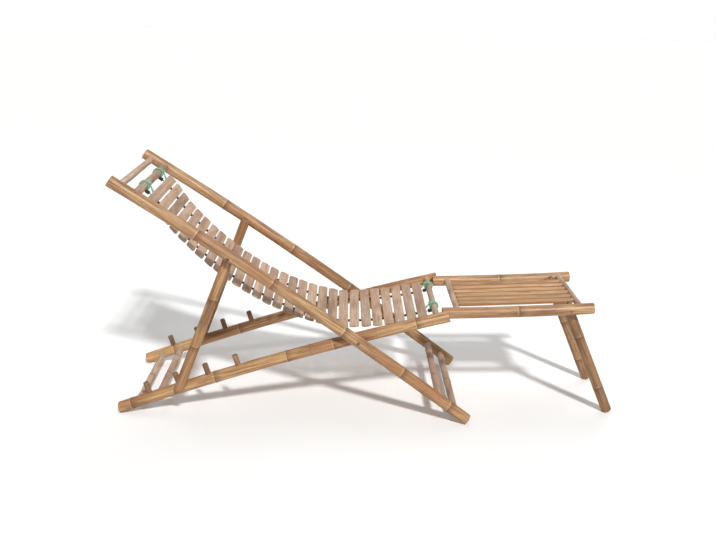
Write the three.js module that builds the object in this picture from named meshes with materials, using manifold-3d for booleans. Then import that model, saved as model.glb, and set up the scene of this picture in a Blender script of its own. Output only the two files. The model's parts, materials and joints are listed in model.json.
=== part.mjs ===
// Bamboo folding recliner with a hinged footrest.
// Millimetres. +X points to the footrest, +Y to the sitter's left, +Z up.
// The origin lies on the floor, under the middle of the recliner's box.
import * as THREE from 'three';
import { mergeVertices } from 'three/addons/utils/BufferGeometryUtils.js';
import Module from 'manifold-3d';

const wasm = await Module();
wasm.setup();

// Whole recliner
const overallWidth = 600;
const runningGap = 0.6;
const fitGap = 0.3;
const floorFlat = 2;
const cutOverrun = 4;
const socketDepth = 14;

// Back frame: two long rails that cross the seat rails and end in the front feet
const backRailLength = 1507;
const backRailDiameter = 42;
const backRailBow = 18;
const mainPivotFromBackFoot = 495;
const propPivotFromHead = 472;
const headCrossbarDiameter = 24;
const headCrossbarFromHead = 36;
const headSlingBarDiameter = 29;
const headSlingBarFromHead = 94;
const footRungDiameter = 27;
const upperFootRungFromFoot = 127;
const lowerFootRungFromFoot = 59;

// Seat frame: two rails from the rear feet up to the footrest hinge
const seatRailLength = 1236;
const seatRailDiameter = 42;
const seatRailBow = 18;
const seatRise = THREE.MathUtils.degToRad(17.7);
const mainPivotFromSeatRear = 904;
const seatRungDiameter = 25;
const rearSeatRungFromRear = 74;
const innerSeatRungFromRear = 154;
const frontBarDiameter = 23;
const frontBarRise = 5;
const footrestHingeFromSeatFront = 11;
const frontBarFromHinge = 32;

// Pegs that the prop's crossbar leans against
const pegDiameter = 20;
const pegHeight = 39;
const pegSocketDepth = 27;
const firstPegFromRear = 122;
const pegPitch = 113.5;
const pegCount = 4;
const pegInUse = 2;

// Dowels and pins
const pivotPinDiameter = 12;
const hingePinDiameter = 7;
const pinRecess = 0.5;

// Prop that holds the back up
const propLegDiameter = 36;
const propTopBeyondPin = 15;
const propPivotDrop = 9;
const propFootBeyondBar = 34;
const propBarDiameter = 26;
const propPivotSideGap = 1.8;

// Footrest
const footrestRailDiameter = 41;
const footrestRailLength = 544;
const footrestRailBow = -3;
const footrestRise = THREE.MathUtils.degToRad(3.2);
const footrestRailBeforeHinge = 10;
const footrestCrossbarDiameter = 23;
const footrestCrossbarRise = 5;
const innerCrossbarFromHinge = 46;
const outerCrossbarFromEnd = 47;
const footrestSlatSideGap = 1.5;
const footrestSlatThickness = 7;
const footrestSlatGap = 7;
const footrestSlatCount = 6;
const slatTongueWidth = 20;
const slatTongueDepth = 5;
const slatShoulder = 14;

// Footrest legs
const footrestLegDiameter = 37;
const footrestLegLean = THREE.MathUtils.degToRad(24.1);
const footrestLegSideGap = 1;
const legAxleFromEnd = 84.5;
const legAxleDrop = 4;
const legAxleDiameter = 9;
const legTopBeyondAxle = 14;

// Slat sling between the head bar and the front bar
const slingSlatCount = 28;
const slingSlatGap = 6.3;
const slingSlatCorner = 10;
const slingSlatThickness = 7;
const slingSideGap = 5.4;
const slingHeadLead = 55;
const slingFrontLead = 47;
const slingSpacerDiameter = 7;
const slingSpacerSpread = 240;
const slingSpacerShift = -25;
const firstSeatSlat = 21;
// Places along the straight line between the two bars, and the sag under it, as shares of that line
const slingAlongShares = [0, 0.046, 0.141, 0.276, 0.419, 0.569, 0.718, 0.8, 0.865, 0.962, 1];
const slingSagShares = [0, 0.0155, 0.073, 0.129, 0.166, 0.178, 0.161, 0.127, 0.092, 0.029, 0];

// Rope lashings that tie the sling to its bars
const ropeDiameter = 4.5;
const ropeTurnGap = 0.6;
const lashingTurns = 3;
const lashingFromSpacer = 37;

// Bamboo culms
const culmEndBevel = 2;
const culmPocketDepth = 9;
const culmPocketShare = 0.42;
const nodeRidgeHeight = 1;
const nodeRidgeHalfLength = 5;
const bowStationStep = 190;
const railSides = 12;
const barSides = 10;
const slatCornerSteps = 4;
const ropeSides = 6;
const stepsPerTurn = 24;

// Joints of each culm, as shares of its length
const backRailNodeShares = [0.225, 0.428, 0.629, 0.8, 0.942];
const seatRailNodeShares = [0.04, 0.3, 0.52, 0.66, 0.905];
const propLegNodeShares = [0.34, 0.68];
const footrestRailNodeShares = [0.22, 0.505];
const footrestLegNodeShares = [0.3, 0.77];
const propBarNodeShares = [0.45];
const longBarNodeShares = [0.36, 0.74];

// Radii and side planes worked out from the sizes above
const backRailRadius = backRailDiameter / 2;
const seatRailRadius = seatRailDiameter / 2;
const propLegRadius = propLegDiameter / 2;
const propBarRadius = propBarDiameter / 2;
const pegRadius = pegDiameter / 2;
const footrestRailRadius = footrestRailDiameter / 2;
const footrestLegRadius = footrestLegDiameter / 2;
const footrestCrossbarRadius = footrestCrossbarDiameter / 2;
const ropeRadius = ropeDiameter / 2;
const backRailY = overallWidth / 2 - backRailRadius;
const seatRailY = backRailY - backRailRadius - seatRailRadius - runningGap;
const footrestRailY = seatRailY - seatRailRadius - footrestRailRadius - runningGap;
const footrestLegY = footrestRailY - footrestRailRadius - footrestLegRadius - footrestLegSideGap;
const propTopY = backRailY - backRailRadius - propLegRadius - propPivotSideGap;
const propFootY = seatRailY + seatRailRadius + propLegRadius + runningGap;
const slingSlatLength = 2 * (seatRailY - seatRailRadius - slingSideGap);
const footrestSlatsWidth = 2 * (footrestLegY - footrestLegRadius - footrestSlatSideGap);
const footrestSlatWidth = (footrestSlatsWidth + footrestSlatGap) / footrestSlatCount - footrestSlatGap;
const footrestEndFromHinge = footrestRailLength - footrestRailBeforeHinge;
const outerCrossbarFromHinge = footrestEndFromHinge - outerCrossbarFromEnd;
const legAxleFromHinge = footrestEndFromHinge - legAxleFromEnd;

const sides = [
  { word: 'right', sign: -1 },
  { word: 'left', sign: 1 },
];

const culmFinish = new THREE.MeshStandardMaterial({ color: '#c4935c', roughness: 0.45, metalness: 0 });
const barFinish = new THREE.MeshStandardMaterial({ color: '#bf9a76', roughness: 0.6, metalness: 0 });
const slatFinish = new THREE.MeshStandardMaterial({ color: '#c2a184', roughness: 0.65, metalness: 0 });
const dowelFinish = new THREE.MeshStandardMaterial({ color: '#8f6a45', roughness: 0.7, metalness: 0 });
const ropeFinish = new THREE.MeshStandardMaterial({ color: '#4f9a78', roughness: 0.8, metalness: 0 });

// Side view helpers

// A frame is an origin and a lean in the side view; a positive lean runs downhill towards +X.
function sideFrame(x, z, lean) {
  return { x, z, lean };
}

function onFrame(frame, along, offset) {
  const c = Math.cos(frame.lean);
  const s = Math.sin(frame.lean);
  return new THREE.Vector2(frame.x + along * c + offset * s, frame.z - along * s + offset * c);
}

function intoFrame(frame, point) {
  const c = Math.cos(frame.lean);
  const s = Math.sin(frame.lean);
  const dx = point.x - frame.x;
  const dz = point.y - frame.z;
  return new THREE.Vector2(dx * c - dz * s, dx * s + dz * c);
}

function bowHeight(along, length, bow) {
  const share = along / length;
  return 4 * bow * share * (1 - share);
}

function endSlope(length, bow) {
  return Math.atan((4 * bow) / length);
}

// How far a culm's axis ends above the floor when its bevelled end is worn flat there.
function footDrop(radius, tilt) {
  const barrel = radius * Math.cos(tilt) - culmEndBevel * Math.sin(tilt);
  const rim = (radius - culmEndBevel) * Math.cos(tilt);
  return Math.max(barrel, rim) - floorFlat;
}

function frameGroup(frame) {
  const group = new THREE.Group();
  group.position.set(frame.x, 0, frame.z);
  group.rotation.y = frame.lean;
  return group;
}

// Places in the side view

const seatTangentAtRear = seatRise + endSlope(seatRailLength, seatRailBow);
const seatFrame = sideFrame(0, footDrop(seatRailRadius, seatTangentAtRear), -seatRise);
const mainPivotRise = bowHeight(mainPivotFromSeatRear, seatRailLength, seatRailBow);
const mainPivot = onFrame(seatFrame, mainPivotFromSeatRear, mainPivotRise);

// The back leans as far as its feet reach the floor with the pivot where the seat rails hold it.
const mainPivotFromHead = backRailLength - mainPivotFromBackFoot;
const mainPivotBow = bowHeight(mainPivotFromHead, backRailLength, backRailBow);
const pivotToFoot = Math.hypot(mainPivotFromBackFoot, mainPivotBow);
const pivotToFootTurn = Math.atan2(mainPivotBow, mainPivotFromBackFoot);

function backLeanFor(footHeight) {
  return Math.asin((mainPivot.y - footHeight) / pivotToFoot) - pivotToFootTurn;
}

function backFootHeight(lean) {
  return footDrop(backRailRadius, lean + endSlope(backRailLength, backRailBow));
}

const backLean = backLeanFor(backFootHeight(backLeanFor(backRailRadius - floorFlat)));
const headEnd = onFrame(sideFrame(mainPivot.x, mainPivot.y, backLean), -mainPivotFromHead, -mainPivotBow);
const backFrame = sideFrame(headEnd.x, headEnd.y, backLean);

const propPivotOffset = bowHeight(propPivotFromHead, backRailLength, backRailBow) - propPivotDrop;
const propPivot = onFrame(backFrame, propPivotFromHead, propPivotOffset);
const usedPegFromRear = firstPegFromRear + (pegInUse - 1) * pegPitch;
const propBarAlongSeat = usedPegFromRear + pegRadius + propBarRadius + fitGap;
const propBarBow = bowHeight(propBarAlongSeat, seatRailLength, seatRailBow);
const propBarLift = seatRailRadius + propBarRadius + fitGap;
const propBarPlace = onFrame(seatFrame, propBarAlongSeat, propBarBow + propBarLift);
const propReach = propPivot.distanceTo(propBarPlace);
const propLean = Math.atan2(propPivot.y - propBarPlace.y, propBarPlace.x - propPivot.x);
const propFrame = sideFrame(propPivot.x, propPivot.y, propLean);

const hingeAlongSeat = seatRailLength - footrestHingeFromSeatFront;
const hingeBow = bowHeight(hingeAlongSeat, seatRailLength, seatRailBow);
const footrestHinge = onFrame(seatFrame, hingeAlongSeat, hingeBow);
const footrestFrame = sideFrame(footrestHinge.x, footrestHinge.y, -footrestRise);
const frontBarAlongSeat = hingeAlongSeat - frontBarFromHinge;
const frontBarOffset = bowHeight(frontBarAlongSeat, seatRailLength, seatRailBow) + frontBarRise;

const legAxle = onFrame(footrestFrame, legAxleFromHinge, -legAxleDrop);
const legTilt = Math.PI / 2 - footrestLegLean;
const legReach = (legAxle.y - footDrop(footrestLegRadius, legTilt)) / Math.sin(legTilt);
const legFrame = sideFrame(legAxle.x, legAxle.y, legTilt);

const headSlingBarBow = bowHeight(headSlingBarFromHead, backRailLength, backRailBow);
const headSlingBarPlace = onFrame(backFrame, headSlingBarFromHead, headSlingBarBow);
const frontBarPlace = onFrame(seatFrame, frontBarAlongSeat, frontBarOffset);

// Solids

function solidOf(geometry) {
  const bare = geometry.clone();
  bare.deleteAttribute('normal');
  bare.deleteAttribute('uv');
  const merged = mergeVertices(bare);
  const vertProperties = new Float32Array(merged.attributes.position.array);
  const triVerts = new Uint32Array(merged.index.array);
  return new wasm.Manifold(new wasm.Mesh({ numProp: 3, vertProperties, triVerts }));
}

function geometryOf(solid) {
  const mesh = solid.getMesh();
  const geometry = new THREE.BufferGeometry();
  geometry.setAttribute('position', new THREE.BufferAttribute(new Float32Array(mesh.vertProperties), 3));
  geometry.setIndex(new THREE.BufferAttribute(new Uint32Array(mesh.triVerts), 1));
  geometry.computeVertexNormals();
  return geometry;
}

// Joins and cuts a mesh's solid with shapes that are given in its parent's coordinates.
function carve(mesh, cutters, additions = []) {
  mesh.updateMatrix();
  const intoMesh = mesh.matrix.clone().invert();
  let body = solidOf(mesh.geometry);
  additions.forEach((shape) => {
    body = body.add(solidOf(shape.clone().applyMatrix4(intoMesh)));
  });
  cutters.forEach((shape) => {
    body = body.subtract(solidOf(shape.clone().applyMatrix4(intoMesh)));
  });
  mesh.geometry = geometryOf(body);
}

// Rings of points joined into one closed skin. A ring of radius zero is a single point.
function skin(rings, ringSides) {
  const positions = [];
  const index = [];
  const starts = [];
  rings.forEach(({ centre, out, across, radius }) => {
    starts.push(positions.length / 3);
    const count = radius === 0 ? 1 : ringSides;
    for (let i = 0; i < count; i += 1) {
      const turn = (2 * Math.PI * i) / ringSides;
      const point = centre.clone();
      point.addScaledVector(out, radius * Math.cos(turn));
      point.addScaledVector(across, radius * Math.sin(turn));
      positions.push(point.x, point.y, point.z);
    }
  });
  for (let k = 0; k + 1 < rings.length; k += 1) {
    for (let i = 0; i < ringSides; i += 1) {
      const j = (i + 1) % ringSides;
      const a = rings[k].radius === 0 ? [starts[k], starts[k]] : [starts[k] + i, starts[k] + j];
      const b = rings[k + 1].radius === 0 ? [starts[k + 1], starts[k + 1]] : [starts[k + 1] + i, starts[k + 1] + j];
      if (a[0] !== a[1]) index.push(a[0], a[1], b[1]);
      if (b[0] !== b[1]) index.push(a[0], b[1], b[0]);
    }
  }
  const geometry = new THREE.BufferGeometry();
  geometry.setAttribute('position', new THREE.Float32BufferAttribute(positions, 3));
  geometry.setIndex(index);
  geometry.computeVertexNormals();
  return geometry;
}

// A culm along +X with a bevel and a shallow hollow at each end, and a low ridge at each bamboo joint.
function culm({ length, radius, ringSides, bow = 0, splay = 0, nodeShares = [] }) {
  const pocket = radius * culmPocketShare;
  const rim = radius - culmEndBevel;
  const middle = [];
  const steps = bow === 0 ? 1 : Math.ceil(length / bowStationStep);
  for (let i = 1; i < steps; i += 1) middle.push([(length * i) / steps, radius]);
  nodeShares.forEach((share) => {
    const at = length * share;
    const clear = 2 * nodeRidgeHalfLength;
    for (let i = middle.length - 1; i >= 0; i -= 1) {
      if (Math.abs(middle[i][0] - at) < clear) middle.splice(i, 1);
    }
    middle.push([at - nodeRidgeHalfLength, radius], [at, radius + nodeRidgeHeight], [at + nodeRidgeHalfLength, radius]);
  });
  middle.sort((p, q) => p[0] - q[0]);
  const profile = [
    [culmPocketDepth, 0],
    [culmPocketDepth, pocket],
    [0, pocket],
    [0, rim],
    [culmEndBevel, radius],
    ...middle,
    [length - culmEndBevel, radius],
    [length, rim],
    [length, pocket],
    [length - culmPocketDepth, pocket],
    [length - culmPocketDepth, 0],
  ];
  const rings = profile.map(([along, ringRadius]) => {
    const share = along / length;
    const tilt = Math.atan((4 * bow * (1 - 2 * share)) / length);
    return {
      centre: new THREE.Vector3(along, splay * share, bowHeight(along, length, bow)),
      out: new THREE.Vector3(0, 1, 0),
      across: new THREE.Vector3(-Math.sin(tilt), 0, Math.cos(tilt)),
      radius: ringRadius,
    };
  });
  return skin(rings, ringSides);
}

// A plain round rod between two points.
function rod(from, to, radius, rodSides) {
  const length = from.distanceTo(to);
  const geometry = new THREE.CylinderGeometry(radius, radius, length, rodSides);
  const turn = new THREE.Quaternion().setFromUnitVectors(
    new THREE.Vector3(0, 1, 0),
    to.clone().sub(from).normalize(),
  );
  geometry.applyQuaternion(turn);
  const middle = from.clone().add(to).multiplyScalar(1 / 2);
  geometry.translate(middle.x, middle.y, middle.z);
  return geometry;
}

// A hole's flats stay clear of the round that goes in it, however the two are turned.
function holeRadius(radius, holeSides) {
  return (radius + fitGap) / Math.cos(Math.PI / holeSides);
}

function hole(along, offset, fromY, toY, radius, holeSides) {
  const from = new THREE.Vector3(along, fromY, offset);
  const to = new THREE.Vector3(along, toY, offset);
  return rod(from, to, holeRadius(radius, holeSides), holeSides);
}

// A blind hole in a rail's inner flank, for the end of a bar.
function barSocket(along, offset, railY, railRadius, sign, radius, holeSides) {
  const mouth = sign * (railY - railRadius - cutOverrun);
  const bottom = sign * (railY - railRadius + socketDepth);
  return hole(along, offset, mouth, bottom, radius, holeSides);
}

function throughHole(along, offset, railY, railRadius, sign, radius) {
  const inner = sign * (railY - railRadius - cutOverrun);
  const outer = sign * (railY + railRadius + cutOverrun);
  return hole(along, offset, inner, outer, radius, barSides);
}

function meshAt(name, geometry, finish, x, y, z) {
  const mesh = new THREE.Mesh(geometry, finish);
  mesh.name = name;
  mesh.position.set(x, y, z);
  return mesh;
}

// A bar across the frame, with both ends in sockets of the rails.
function crossBar(name, along, offset, radius, railY, railRadius, nodeShares, ringSides = barSides) {
  const half = railY - railRadius + socketDepth - fitGap;
  const geometry = culm({ length: 2 * half, radius, ringSides, nodeShares });
  const mesh = meshAt(name, geometry, barFinish, along, -half, offset);
  mesh.rotation.z = Math.PI / 2;
  return mesh;
}

// Seat frame

function seatRail({ word, sign }) {
  const geometry = culm({
    length: seatRailLength,
    radius: seatRailRadius,
    ringSides: railSides,
    bow: seatRailBow,
    nodeShares: seatRailNodeShares,
  });
  const rail = meshAt(`seat_rail_${word}`, geometry, culmFinish, 0, sign * seatRailY, 0);
  const socket = (along, offset, diameter) =>
    barSocket(along, offset, seatRailY, seatRailRadius, sign, diameter / 2, barSides);
  const cutters = [
    socket(rearSeatRungFromRear, seatBow(rearSeatRungFromRear), seatRungDiameter),
    socket(innerSeatRungFromRear, seatBow(innerSeatRungFromRear), seatRungDiameter),
    socket(frontBarAlongSeat, frontBarOffset, frontBarDiameter),
    throughHole(mainPivotFromSeatRear, mainPivotRise, seatRailY, seatRailRadius, sign, pivotPinDiameter / 2),
    ...pegPlaces().map((along) => {
      const floor = seatBow(along) + seatRailRadius - pegSocketDepth;
      const from = new THREE.Vector3(along, sign * seatRailY, floor);
      const to = new THREE.Vector3(along, sign * seatRailY, floor + pegSocketDepth + pegHeight);
      return rod(from, to, holeRadius(pegRadius, barSides), barSides);
    }),
  ];
  const pinFrom = new THREE.Vector3(hingeAlongSeat, sign * seatRailY, hingeBow);
  const pinEnd = footrestRailY - footrestRailRadius / 2;
  const pinTo = new THREE.Vector3(hingeAlongSeat, sign * pinEnd, hingeBow);
  carve(rail, cutters, [rod(pinFrom, pinTo, hingePinDiameter / 2, barSides)]);
  return rail;
}

function seatBow(along) {
  return bowHeight(along, seatRailLength, seatRailBow);
}

function pegPlaces() {
  return Array.from({ length: pegCount }, (_, i) => firstPegFromRear + i * pegPitch);
}

function seatPeg({ word, sign }, along, number) {
  const base = seatBow(along) + seatRailRadius - pegSocketDepth + fitGap;
  const top = seatBow(along) + seatRailRadius + pegHeight;
  const geometry = rod(new THREE.Vector3(0, 0, 0), new THREE.Vector3(0, 0, top - base), pegRadius, barSides);
  return meshAt(`seat_peg_${word}_${number}`, geometry, barFinish, along, sign * seatRailY, base);
}

function seatFramePieces() {
  const group = frameGroup(seatFrame);
  const bar = (name, along, offset, diameter, shares) =>
    crossBar(name, along, offset, diameter / 2, seatRailY, seatRailRadius, shares);
  sides.forEach((side) => {
    group.add(seatRail(side));
    pegPlaces().forEach((along, i) => group.add(seatPeg(side, along, i + 1)));
  });
  const rear = rearSeatRungFromRear;
  const inner = innerSeatRungFromRear;
  group.add(bar('seat_rung_rear', rear, seatBow(rear), seatRungDiameter, propBarNodeShares));
  group.add(bar('seat_rung_inner', inner, seatBow(inner), seatRungDiameter, longBarNodeShares));
  group.add(bar('front_sling_bar', frontBarAlongSeat, frontBarOffset, frontBarDiameter, []));
  return group;
}

// Back frame

const backBars = [
  ['head_crossbar', headCrossbarFromHead, headCrossbarDiameter, []],
  ['head_sling_bar', headSlingBarFromHead, headSlingBarDiameter, []],
  ['foot_rung_upper', backRailLength - upperFootRungFromFoot, footRungDiameter, longBarNodeShares],
  ['foot_rung_lower', backRailLength - lowerFootRungFromFoot, footRungDiameter, propBarNodeShares],
];

function backBow(along) {
  return bowHeight(along, backRailLength, backRailBow);
}

function backRail({ word, sign }) {
  const geometry = culm({
    length: backRailLength,
    radius: backRailRadius,
    ringSides: railSides,
    bow: backRailBow,
    nodeShares: backRailNodeShares,
  });
  const rail = meshAt(`back_rail_${word}`, geometry, culmFinish, 0, sign * backRailY, 0);
  const cutters = backBars.map(([, along, diameter]) =>
    barSocket(along, backBow(along), backRailY, backRailRadius, sign, diameter / 2, barSides));
  const pinRadius = pivotPinDiameter / 2;
  cutters.push(throughHole(mainPivotFromHead, mainPivotBow, backRailY, backRailRadius, sign, pinRadius));
  cutters.push(throughHole(propPivotFromHead, propPivotOffset, backRailY, backRailRadius, sign, pinRadius));
  carve(rail, cutters);
  return rail;
}

// A dowel from a back rail's outer flank into the culm beside it.
function pivotPin(name, along, offset, innerY, sign) {
  const outerY = backRailY + backRailRadius - pinRecess;
  const from = new THREE.Vector3(0, 0, 0);
  const to = new THREE.Vector3(0, sign * (outerY - innerY), 0);
  const geometry = rod(from, to, pivotPinDiameter / 2, barSides);
  return meshAt(name, geometry, dowelFinish, along, sign * innerY, offset);
}

function backFramePieces() {
  const group = frameGroup(backFrame);
  const seatInnerY = seatRailY - seatRailRadius + pinRecess;
  const propInnerY = propTopY - propLegRadius / 2;
  sides.forEach((side) => {
    const { word, sign } = side;
    group.add(backRail(side));
    group.add(pivotPin(`main_pivot_pin_${word}`, mainPivotFromHead, mainPivotBow, seatInnerY, sign));
    group.add(pivotPin(`prop_pivot_pin_${word}`, propPivotFromHead, propPivotOffset, propInnerY, sign));
  });
  backBars.forEach(([name, along, diameter, shares]) => {
    group.add(crossBar(name, along, backBow(along), diameter / 2, backRailY, backRailRadius, shares));
  });
  return group;
}

// Prop: two legs that splay from inside the back rails to outside the seat rails, and their crossbar

function propLegY(along) {
  const footAlong = propReach + propFootBeyondBar;
  return propTopY + ((propFootY - propTopY) * along) / footAlong;
}

function propLeg({ word, sign }) {
  const length = propTopBeyondPin + propReach + propFootBeyondBar;
  const startY = propLegY(-propTopBeyondPin);
  const geometry = culm({
    length,
    radius: propLegRadius,
    ringSides: railSides,
    splay: sign * (propLegY(length - propTopBeyondPin) - startY),
    nodeShares: propLegNodeShares,
  });
  const leg = meshAt(`prop_leg_${word}`, geometry, culmFinish, -propTopBeyondPin, sign * startY, 0);
  const barRadius = propBarRadius;
  const legAtBar = propLegY(propReach);
  const pinHole = hole(
    0,
    0,
    sign * (propTopY - propLegRadius / 2 - fitGap),
    sign * (propTopY + propLegRadius + cutOverrun),
    pivotPinDiameter / 2,
    barSides,
  );
  carve(leg, [pinHole, barSocket(propReach, 0, legAtBar, propLegRadius, sign, barRadius, barSides)]);
  return leg;
}

function propPieces() {
  const group = frameGroup(propFrame);
  sides.forEach((side) => group.add(propLeg(side)));
  const legAtBar = propLegY(propReach);
  group.add(crossBar('prop_crossbar', propReach, 0, propBarRadius, legAtBar, propLegRadius, propBarNodeShares));
  return group;
}

// Footrest

const footrestCrossbars = [
  ['footrest_crossbar_inner', innerCrossbarFromHinge, 1],
  ['footrest_crossbar_outer', outerCrossbarFromHinge, -1],
];

function footrestRail({ word, sign }) {
  const geometry = culm({
    length: footrestRailLength,
    radius: footrestRailRadius,
    ringSides: railSides,
    bow: footrestRailBow,
    nodeShares: footrestRailNodeShares,
  });
  const rail = meshAt(`footrest_rail_${word}`, geometry, culmFinish, -footrestRailBeforeHinge, sign * footrestRailY, 0);
  const cutters = footrestCrossbars.map(([, along]) =>
    barSocket(
      along,
      footrestCrossbarRise,
      footrestRailY,
      footrestRailRadius,
      sign,
      footrestCrossbarRadius,
      barSides,
    ));
  cutters.push(throughHole(legAxleFromHinge, -legAxleDrop, footrestRailY, footrestRailRadius, sign, legAxleDiameter / 2));
  const pinStart = sign * (footrestRailY + footrestRailRadius + cutOverrun);
  const pinStop = sign * (footrestRailY - footrestRailRadius / 2 - fitGap);
  cutters.push(hole(0, 0, pinStart, pinStop, hingePinDiameter / 2, barSides));
  carve(rail, cutters);
  return rail;
}

function footrestSlatY(number) {
  const pitch = footrestSlatWidth + footrestSlatGap;
  return (number - (footrestSlatCount - 1) / 2) * pitch;
}

function footrestSlat(number) {
  const barFace = footrestCrossbarRadius + fitGap;
  const start = innerCrossbarFromHinge + barFace;
  const end = outerCrossbarFromHinge - barFace;
  const half = footrestSlatWidth / 2;
  const tongue = slatTongueWidth / 2;
  const reach = slatTongueDepth + fitGap;
  const outline = new THREE.Shape();
  outline.moveTo(start - reach, -tongue);
  outline.lineTo(start, -tongue);
  outline.lineTo(start + slatShoulder, -half);
  outline.lineTo(end - slatShoulder, -half);
  outline.lineTo(end, -tongue);
  outline.lineTo(end + reach, -tongue);
  outline.lineTo(end + reach, tongue);
  outline.lineTo(end, tongue);
  outline.lineTo(end - slatShoulder, half);
  outline.lineTo(start + slatShoulder, half);
  outline.lineTo(start, tongue);
  outline.lineTo(start - reach, tongue);
  outline.closePath();
  const geometry = new THREE.ExtrudeGeometry(outline, { depth: footrestSlatThickness, bevelEnabled: false });
  const bottom = footrestCrossbarRise - footrestSlatThickness / 2;
  return meshAt(`footrest_slat_${number + 1}`, geometry, slatFinish, 0, footrestSlatY(number), bottom);
}

function footrestCrossbar([name, along, slotSide]) {
  const bar = crossBar(
    name,
    along,
    footrestCrossbarRise,
    footrestCrossbarRadius,
    footrestRailY,
    footrestRailRadius,
    [],
  );
  const slotDepth = slatTongueDepth + 2 * fitGap;
  const slots = Array.from({ length: footrestSlatCount }, (_, number) => {
    const slot = new THREE.BoxGeometry(
      slotDepth + cutOverrun,
      slatTongueWidth + 2 * fitGap,
      footrestSlatThickness + 2 * fitGap,
    );
    const middle = footrestCrossbarRadius - slotDepth + (slotDepth + cutOverrun) / 2;
    slot.translate(along + slotSide * middle, footrestSlatY(number), footrestCrossbarRise);
    return slot;
  });
  carve(bar, slots);
  return bar;
}

function footrestPieces() {
  const group = frameGroup(footrestFrame);
  sides.forEach((side) => group.add(footrestRail(side)));
  footrestCrossbars.forEach((row) => group.add(footrestCrossbar(row)));
  for (let number = 0; number < footrestSlatCount; number += 1) group.add(footrestSlat(number));
  return group;
}

function footrestLeg({ word, sign }) {
  const geometry = culm({
    length: legTopBeyondAxle + legReach,
    radius: footrestLegRadius,
    ringSides: railSides,
    nodeShares: footrestLegNodeShares,
  });
  const leg = meshAt(`footrest_leg_${word}`, geometry, culmFinish, -legTopBeyondAxle, sign * footrestLegY, 0);
  carve(leg, [throughHole(0, 0, footrestLegY, footrestLegRadius, sign, legAxleDiameter / 2)]);
  return leg;
}

function footrestLegPieces() {
  const group = frameGroup(legFrame);
  sides.forEach((side) => group.add(footrestLeg(side)));
  const half = footrestRailY + footrestRailRadius - pinRecess;
  const axle = rod(new THREE.Vector3(0, 0, 0), new THREE.Vector3(0, 2 * half, 0), legAxleDiameter / 2, barSides);
  group.add(meshAt('footrest_leg_axle', axle, dowelFinish, 0, -half, 0));
  return group;
}

// Sling of slats on two cords

function slingCurve() {
  const span = frontBarPlace.clone().sub(headSlingBarPlace);
  const reach = span.length();
  const down = new THREE.Vector2(span.y, -span.x).divideScalar(reach);
  const points = slingAlongShares.map((share, i) => {
    const point = headSlingBarPlace.clone().addScaledVector(span, share);
    point.addScaledVector(down, slingSagShares[i] * reach);
    return new THREE.Vector3(point.x, 0, point.y);
  });
  const curve = new THREE.CatmullRomCurve3(points, false, 'centripetal');
  curve.arcLengthDivisions = slingAlongShares.length * stepsPerTurn;
  return curve;
}

const sling = slingCurve();
const slingLength = sling.getLength();
const slingRun = slingLength - slingHeadLead - slingFrontLead;
const slingPitch = slingRun / (slingSlatCount - 1);
const slingSlatWidth = slingPitch - slingSlatGap;
const spacerYs = sides.map(({ sign }) => slingSpacerShift + (sign * slingSpacerSpread) / 2);

// Where slat number i, counted from one at the head, lies, and how it leans.
function slatFrame(number) {
  const share = (slingHeadLead + (number - 1) * slingPitch) / slingLength;
  const place = sling.getPointAt(share);
  const heading = sling.getTangentAt(share);
  return sideFrame(place.x, place.z, Math.atan2(-heading.z, heading.x));
}

function slatOutline() {
  const side = slingSlatWidth / 2 - slingSlatCorner;
  const straight = slingSlatLength / 2 - slingSlatCorner;
  const quarter = Math.PI / 2;
  const outline = new THREE.Shape();
  outline.absarc(side, straight, slingSlatCorner, 0, quarter, false);
  outline.absarc(-side, straight, slingSlatCorner, quarter, 2 * quarter, false);
  outline.absarc(-side, -straight, slingSlatCorner, 2 * quarter, 3 * quarter, false);
  outline.absarc(side, -straight, slingSlatCorner, 3 * quarter, 4 * quarter, false);
  outline.closePath();
  return outline;
}

function slatPlate(frame) {
  const settings = { depth: slingSlatThickness, bevelEnabled: false, curveSegments: slatCornerSteps / 2 };
  const geometry = new THREE.ExtrudeGeometry(slatOutline(), settings);
  geometry.translate(0, 0, -slingSlatThickness / 2);
  return placedIn(frame, geometry);
}

function placedIn(frame, geometry) {
  const matrix = new THREE.Matrix4().makeRotationY(frame.lean);
  matrix.setPosition(frame.x, 0, frame.z);
  return geometry.applyMatrix4(matrix);
}

// A spacer on the cord, from one slat's edge to a point of the side view.
function spacerTo(frame, direction, target, y, gap) {
  const edge = onFrame(frame, direction * (slingSlatWidth / 2 - slingSlatThickness / 2), 0);
  const way = target.clone().sub(edge);
  const end = edge.clone().addScaledVector(way.clone().normalize(), way.length() - gap);
  const from = new THREE.Vector3(edge.x, y, edge.y);
  const to = new THREE.Vector3(end.x, y, end.y);
  return rod(from, to, slingSpacerDiameter / 2, ropeSides);
}

// The spacers on the head side of a slat. The sling is left open where the back folds away from the seat.
function headSideSpacers(number) {
  if (number === firstSeatSlat) return [];
  const frame = slatFrame(number);
  return spacerYs.map((y) => {
    if (number === 1) return spacerTo(frame, -1, headSlingBarPlace, y, headSlingBarDiameter / 2 + fitGap);
    const target = onFrame(slatFrame(number - 1), slingSlatWidth / 2, 0);
    return spacerTo(frame, -1, target, y, 2 * fitGap);
  });
}

// The spacers between the two slats of a pair, which hold them at their distance.
function pairSpacers(first) {
  const target = onFrame(slatFrame(first), slingSlatWidth / 2 - slingSlatThickness / 2, 0);
  return spacerYs.map((y) => spacerTo(slatFrame(first + 1), -1, target, y, 0));
}

function frontBarSpacers() {
  const frame = slatFrame(slingSlatCount);
  return spacerYs.map((y) => spacerTo(frame, 1, frontBarPlace, y, frontBarDiameter / 2 + fitGap));
}

function twoDigits(number) {
  return String(number).padStart(2, '0');
}

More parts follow.
